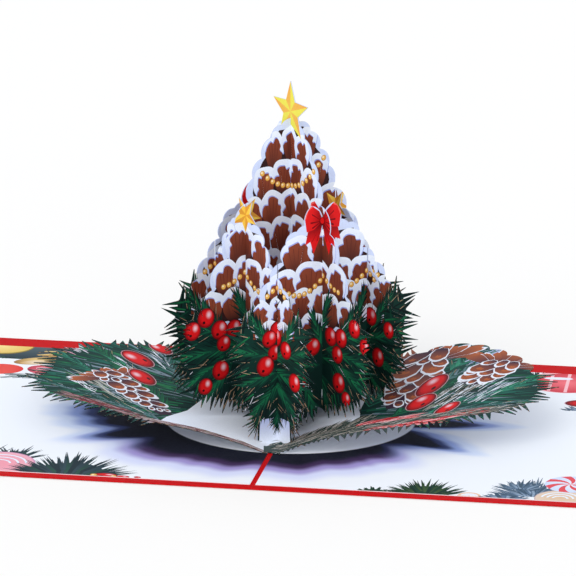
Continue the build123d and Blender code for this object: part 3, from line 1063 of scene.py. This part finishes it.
def print_liners(material):
    liners = (("left_liner", left_corners, 41), ("right_liner", right_corners, 43))
    for name, corners, seed in liners:
        art = Artwork(plan_outline(name), seed)
        corners(art)
        place = lambda x, y: (x, y, liner_top + ink_lift)
        skin(name + "_print", art, [(place, 1)], material)


# Materials


def add(tree, kind, inputs=None, **settings):
    """A new node with its settings. An input gets a plain value or another node's output."""
    node = tree.nodes.new("ShaderNode" + kind)
    for name, value in settings.items():
        setattr(node, name, value)
    for name, value in (inputs or {}).items():
        feed(tree, value, node.inputs[name])
    return node


def feed(tree, value, socket):
    if isinstance(value, bpy.types.NodeSocket):
        tree.links.new(value, socket)
    else:
        socket.default_value = value


def new_material(name, gloss):
    material = bpy.data.materials.new(name)
    material.use_nodes = True
    tree = material.node_tree
    shader = tree.nodes["Principled BSDF"]
    shader.inputs["Specular IOR Level"].default_value = gloss
    return material, tree, shader


def paper_grain(tree, shader, scale, strength):
    """Fine fibres of art paper: a shallow bump and a little unevenness of the gloss. Gives
    the place on the piece and the fibres, for other patterns."""
    where = add(tree, "TexCoord")
    noise = {"Vector": where.outputs["Object"], "Scale": scale, "Detail": 4.0}
    fibres = add(tree, "TexNoise", noise).outputs["Fac"]
    bump = add(tree, "Bump", {"Height": fibres, "Strength": strength, "Distance": 0.05 * mm})
    rough = add(tree, "MapRange", {"Value": fibres, "To Min": 0.55, "To Max": 0.75})
    feed(tree, bump.outputs["Normal"], shader.inputs["Normal"])
    feed(tree, rough.outputs["Result"], shader.inputs["Roughness"])
    return where, fibres


def printed_material():
    """Ink on coated card: the skin's own colours, slightly mottled."""
    material, tree, shader = new_material("printed_ink", print_gloss)
    fibres = paper_grain(tree, shader, 1800, 0.15)[1]
    colours = add(tree, "VertexColor", layer_name="ink")
    mottle = add(tree, "MapRange", {"Value": fibres, "To Min": 0.9, "To Max": 1.1})
    inputs = {"Factor": 1.0, "A": colours.outputs["Color"], "B": mottle.outputs["Result"]}
    blend = add(tree, "Mix", inputs, data_type="RGBA", blend_type="MULTIPLY")
    feed(tree, blend.outputs["Result"], shader.inputs["Base Color"])
    return material


def plain_card(name, pale, dark):
    """Card of one colour with cloudy fibres in it."""
    material, tree, shader = new_material(name, card_gloss)
    fibres = paper_grain(tree, shader, fibre_scale, 0.25)[1]
    colour = colour_ramp(tree, fibres, ((0.3, dark), (0.7, pale)))
    feed(tree, colour, shader.inputs["Base Color"])
    return material


def cut_card(name, facing, snow_line):
    """White card whose cut edges are burnt dark and tan, and pale above the snow line.
    Facing is the way the sheet faces; whatever faces across it is a cut edge."""
    material, tree, shader = new_material(name, print_gloss)
    where, fibres = paper_grain(tree, shader, fibre_scale, 0.25)
    paper = colour_ramp(tree, fibres, ((0.3, ink(236, 241, 250)), (0.7, ink(247, 250, 255))))
    patches = add(tree, "TexNoise", {"Vector": where.outputs["Object"], "Scale": 500})
    burns = ((0.52, pine_black), (0.66, ink(150, 116, 90)))
    burnt = colour_ramp(tree, patches.outputs["Fac"], burns)
    split = add(tree, "SeparateXYZ", {"Vector": where.outputs["Object"]})
    high = reckon(tree, "GREATER_THAN", split.outputs["Z"], snow_line * mm)
    edge = mixed(tree, high, burnt, ink(196, 206, 232))
    across = vectors(tree, "DOT_PRODUCT", where.outputs["Normal"], facing)["Value"]
    is_edge = reckon(tree, "LESS_THAN", reckon(tree, "ABSOLUTE", across), 0.5)
    feed(tree, mixed(tree, is_edge, paper, edge), shader.inputs["Base Color"])
    return material


def colour_ramp(tree, value, stops):
    """Colours along a value, from stops of place and colour."""
    node = add(tree, "ValToRGB", {"Fac": value})
    ramp = node.color_ramp
    ramp.interpolation = "EASE"
    for k, (place, colour) in enumerate(stops):
        stop = ramp.elements[k] if k < 2 else ramp.elements.new(place)
        stop.position = place
        stop.color = colour
    return node.outputs["Color"]


def reckon(tree, operation, first, second=0):
    """A sum of two values, each a number or another node's output."""
    return add(tree, "Math", {0: first, 1: second}, operation=operation).outputs["Value"]


def vectors(tree, operation, *values):
    """The outputs of a sum of vectors."""
    return add(tree, "VectorMath", dict(enumerate(values)), operation=operation).outputs


def mixed(tree, factor, first, second):
    inputs = {"Factor": factor, "A": first, "B": second}
    return add(tree, "Mix", inputs, data_type="RGBA").outputs["Result"]


def liner_paper():
    """The liners' ground: a white disc in a dark ring that streaks out into pale blue."""
    material, tree, shader = new_material("liner_paper", print_gloss)
    where = paper_grain(tree, shader, fibre_scale, 0.2)[0].outputs["Object"]

    def measured(middle_x, wide, deep):
        """Distance from a middle, 1 on an oval of these half sizes in millimetres."""
        shrink = (1 / (wide * mm), 1 / (deep * mm), 0)
        shift = (-middle_x / wide, 0, 0)
        shrunk = vectors(tree, "MULTIPLY_ADD", where, shrink, shift)["Vector"]
        return vectors(tree, "LENGTH", shrunk)["Value"]

    plan = vectors(tree, "MULTIPLY", where, (1, 1, 0))["Vector"]
    way = vectors(tree, "NORMALIZE", plan)["Vector"]
    streaks = add(tree, "TexNoise", {"Vector": way, "Scale": 3.2, "Detail": 1.5}).outputs["Fac"]
    ring = measured(ring_middle_x, ring_half_width, ring_half_depth)
    split = add(tree, "SeparateXYZ", {"Vector": way})
    sideways = reckon(tree, "SUBTRACT", reckon(tree, "ABSOLUTE", split.outputs["X"]), 0.7)
    steep = reckon(tree, "MULTIPLY", sideways, 4.5)
    limit = add(tree, "Clamp", {"Value": steep}).outputs["Result"]
    swing = reckon(tree, "ADD", reckon(tree, "MULTIPLY", limit, 1.2), 0.3)
    shift = reckon(tree, "MULTIPLY", reckon(tree, "SUBTRACT", streaks, 0.5), swing)
    streaked = reckon(tree, "MULTIPLY", reckon(tree, "ADD", ring, shift), 0.5)
    navy = ink(20, 22, 36)
    pale = ink(244, 246, 248)
    front = colour_ramp(tree, streaked, (
        (0.46, navy), (0.68, pale), (0.505, ink(66, 46, 84)),
        (0.55, ink(164, 150, 206)), (0.6, ink(220, 224, 248)),
    ))
    sides = colour_ramp(tree, streaked, (
        (0.45, navy), (0.64, pale), (0.48, ink(58, 68, 112)),
        (0.52, ink(154, 172, 220)), (0.57, ink(218, 228, 246)),
    ))
    ground = mixed(tree, limit, front, sides)
    disc = measured(0, disc_half_width, disc_half_depth)
    outside = colour_ramp(tree, disc, ((0.985, (0, 0, 0, 1)), (1.0, (1, 1, 1, 1))))
    colour = mixed(tree, outside, ink(250, 252, 255), ground)
    feed(tree, colour, shader.inputs["Base Color"])
    return material


def dress(node, material):
    mesh = nodes[node].data
    mesh.materials.clear()
    mesh.materials.append(material)


# The scene


def floor_and_backdrop():
    bpy.ops.object.select_all(action="DESELECT")
    bpy.ops.mesh.primitive_plane_add(size=12, location=(0, 0, -0.0002))
    floor = bpy.context.object
    floor.name = "floor"
    material, _, shader = new_material("pale_floor", 0.0)
    shader.inputs["Base Color"].default_value = (0.97, 0.935, 0.875, 1)
    shader.inputs["Roughness"].default_value = 0.9
    floor.data.materials.append(material)


def lights():
    """Pale daylight all round, which the camera sees as white, and two soft lamps."""
    world = bpy.data.worlds.new("studio")
    bpy.context.scene.world = world
    world.use_nodes = True
    tree = world.node_tree
    back = tree.nodes["Background"]
    back.inputs["Color"].default_value = (0.86, 0.91, 1.0, 1)
    back.inputs["Strength"].default_value = 0.93
    seen = add(tree, "Background", {"Color": (1, 1, 1, 1)})
    path = add(tree, "LightPath")
    inputs = {
        0: path.outputs["Is Camera Ray"],
        1: back.outputs["Background"],
        2: seen.outputs["Background"],
    }
    blend = add(tree, "MixShader", inputs)
    feed(tree, blend.outputs["Shader"], tree.nodes["World Output"].inputs["Surface"])
    for name, place, power in (
        ("key_light", (-0.45, -1.0, 1.0), 0.9),
        ("fill_light", (0.3, -1.0, 0.25), 0.5),
    ):
        bpy.ops.object.light_add(type="SUN", location=place)
        lamp = bpy.context.object
        lamp.name = name
        lamp.data.angle = math.radians(40)
        lamp.data.energy = power
        lamp.data.color = (1.0, 0.98, 0.95)
        lamp.rotation_euler = (-Vector(place)).to_track_quat("-Z", "Y").to_euler()


def camera():
    """The photograph's view: a little right of the spine and low over the table."""
    azimuth = math.radians(9.88)
    elevation = math.radians(16.07)
    left_shift = 0.00114
    rise = 0.0534
    distance = 1.983
    turn = Euler((math.pi / 2 - elevation, 0, azimuth))
    place = turn.to_matrix() @ Vector((-left_shift, rise, distance))
    bpy.ops.object.camera_add(location=place, rotation=turn)
    view = bpy.context.object
    view.data.lens = 305.0
    view.data.sensor_width = 36.0
    view.data.clip_start = 0.1
    view.data.clip_end = 50.0
    bpy.context.scene.camera = view


camera()
lights()
floor_and_backdrop()
ink_material = printed_material()
dress("card_cover", plain_card("red_card", ink(206, 18, 22), ink(192, 14, 18)))
ground = liner_paper()
dress("left_liner", ground)
dress("right_liner", ground)
dress("wreath_sheet", cut_card("wreath_card", (0, 0, 1), cad_high[2] / mm))
for family in ("a", "b"):
    card = cut_card("tree_card_" + family, slice_axes(family, 0)[1], foliage_top + 12)
    for step in (-1, 0, 1):
        dress(slice_node(family, step), card)
print_tree(ink_material)
print_wreath(ink_material)
print_liners(ink_material)
bpy.context.scene.view_settings.view_transform = "Standard"
